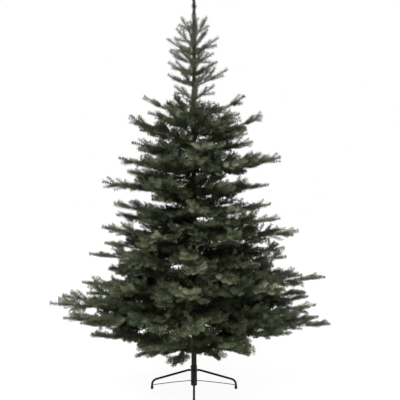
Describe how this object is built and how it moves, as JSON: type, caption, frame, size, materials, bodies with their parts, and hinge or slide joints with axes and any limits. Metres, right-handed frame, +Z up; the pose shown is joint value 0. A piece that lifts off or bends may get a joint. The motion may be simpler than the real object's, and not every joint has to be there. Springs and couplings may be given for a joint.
{
  "type": "artificial christmas tree on a folding stand",
  "caption": "Undecorated artificial fir with layered boughs, upswept tips and a bare leader, standing on a black tube stand with splayed legs.",
  "frame": {"origin": "on the floor, under the axis of the pole", "axes": "+Z up along the pole, +X to the right seen from the front, -Y to the front"},
  "size_m": [1.4745, 1.3265, 2.1],
  "materials": {
    "needles": "matte",
    "bough_wire": "matte",
    "green_painted_pole": "satin",
    "black_painted_steel": "satin",
    "dark_steel": "satin",
    "foot_rubber": "matte"
  },
  "bodies": {
    "root": {"bough_collar": "black_painted_steel", "leader_foliage": "needles", "pole": "green_painted_pole", "stand_brace_across": "black_painted_steel", "stand_brace_along": "black_painted_steel", "stand_foot_back": "foot_rubber", "stand_foot_front": "foot_rubber", "stand_foot_left": "foot_rubber", "stand_foot_right": "foot_rubber", "stand_hub": "black_painted_steel", "stand_leg_back": "black_painted_steel", "stand_leg_front": "black_painted_steel", "stand_leg_left": "black_painted_steel", "stand_leg_right": "black_painted_steel", "stand_screw": "dark_steel", "tier_10_foliage_1": "needles", "tier_10_foliage_2": "needles", "tier_11_foliage_1": "needles", "tier_11_foliage_2": "needles", "tier_1_bough_1": "bough_wire", "tier_1_bough_2": "bough_wire", "tier_1_bough_3": "bough_wire", "tier_1_bough_4": "bough_wire", "tier_1_bough_5": "bough_wire", "tier_1_bough_6": "bough_wire", "tier_1_bough_7": "bough_wire", "tier_1_bough_8": "bough_wire", "tier_1_bough_9": "bough_wire", "tier_1_foliage_1": "needles", "tier_1_foliage_2": "needles", "tier_1_foliage_3": "needles", "tier_2_foliage_1": "needles", "tier_2_foliage_2": "needles", "tier_2_foliage_3": "needles", "tier_3_foliage_1": "needles", "tier_3_foliage_2": "needles", "tier_3_foliage_3": "needles", "tier_4_foliage_1": "needles", "tier_4_foliage_2": "needles", "tier_4_foliage_3": "needles", "tier_5_foliage_1": "needles", "tier_5_foliage_2": "needles", "tier_5_foliage_3": "needles", "tier_6_foliage_1": "needles", "tier_6_foliage_2": "needles", "tier_6_foliage_3": "needles", "tier_7_foliage_1": "needles", "tier_7_foliage_2": "needles", "tier_7_foliage_3": "needles", "tier_8_foliage_1": "needles", "tier_8_foliage_2": "needles", "tier_9_foliage_1": "needles", "tier_9_foliage_2": "needles", "whorl_1_foliage": "needles", "whorl_2_foliage": "needles", "whorl_3_foliage": "needles", "whorl_4_foliage": "needles", "whorl_5_foliage": "needles", "whorl_6_foliage": "needles", "whorl_7_foliage": "needles"}
  },
  "joints": []
}
